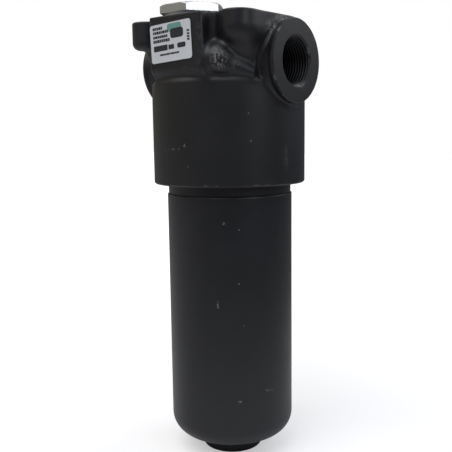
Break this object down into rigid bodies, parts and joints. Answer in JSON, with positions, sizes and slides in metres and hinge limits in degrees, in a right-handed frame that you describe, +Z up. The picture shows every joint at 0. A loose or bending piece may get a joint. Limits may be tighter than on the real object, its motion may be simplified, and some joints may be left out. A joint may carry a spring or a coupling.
{
  "type": "hydraulic pressure filter",
  "caption": "Pressure filter with a black cast head, threaded ports in line, a hex plug and mounting bosses, over a long screwed bowl that holds a pleated element.",
  "frame": {"origin": "centre of the flat face at the bottom of the bowl", "axes": "+Z up the bowl's axis to the head's top face, +X from the inlet port to the outlet port, -Y out of the block with the label"},
  "size_m": [0.099, 0.0934, 0.268],
  "materials": {
    "blackened_iron": "blackened, satin, lightly oiled, with scuffed edges",
    "blackened_steel": "blackened, satin",
    "zinc_plate": "zinc plated, bright",
    "bright_steel": "turned",
    "spring_steel": "drawn wire",
    "tin_plate": "tin plated sheet",
    "seal_rubber": "matte",
    "backup_plastic": "smooth",
    "glass_fleece": "pleated fleece",
    "casting_resin": "cast, glossy",
    "label_film": "smooth film"
  },
  "bodies": {
    "head": {"head": "blackened_iron", "hex_plug": "zinc_plate", "plug_o_ring": "seal_rubber", "bypass_seat": "bright_steel", "bypass_seat_o_ring": "seal_rubber", "seat_snap_ring": "spring_steel", "bypass_spring": "spring_steel", "spring_plate": "bright_steel", "element_top_cap": "tin_plate", "element_bottom_cap": "tin_plate", "element_core_tube": "tin_plate", "element_medium": "glass_fleece", "top_resin_bed": "casting_resin", "bottom_resin_bed": "casting_resin", "element_o_ring": "seal_rubber", "label": "label_film"},
    "bowl_seals": {"bowl_o_ring": "seal_rubber", "bowl_backup_ring": "backup_plastic"},
    "bowl": {"bowl": "blackened_steel"},
    "bypass_poppet": {"bypass_poppet": "bright_steel"}
  },
  "joints": [
    {"name": "bowl_travel", "type": "slide", "parent": "head", "child": "bowl_seals", "axis": [0, 0, -1], "range_m": [0, 0.0161]},
    {"name": "bowl_turn", "type": "hinge", "parent": "bowl_seals", "child": "bowl", "pos_m": [0, 0, 0], "axis": [0, 0, -1], "range_deg": [0, 2880]},
    {"name": "bypass_lift", "type": "slide", "parent": "head", "child": "bypass_poppet", "axis": [0, 0, 1], "range_m": [0, 0.0035], "stiffness_N_per_m": 5000, "springref_m": -0.0114, "deforming": ["bypass_spring"]}
  ],
  "couplings": [
    {"joint": "bowl_travel", "follows": "bowl_turn", "m_per_rad": 0.00031831}
  ]
}
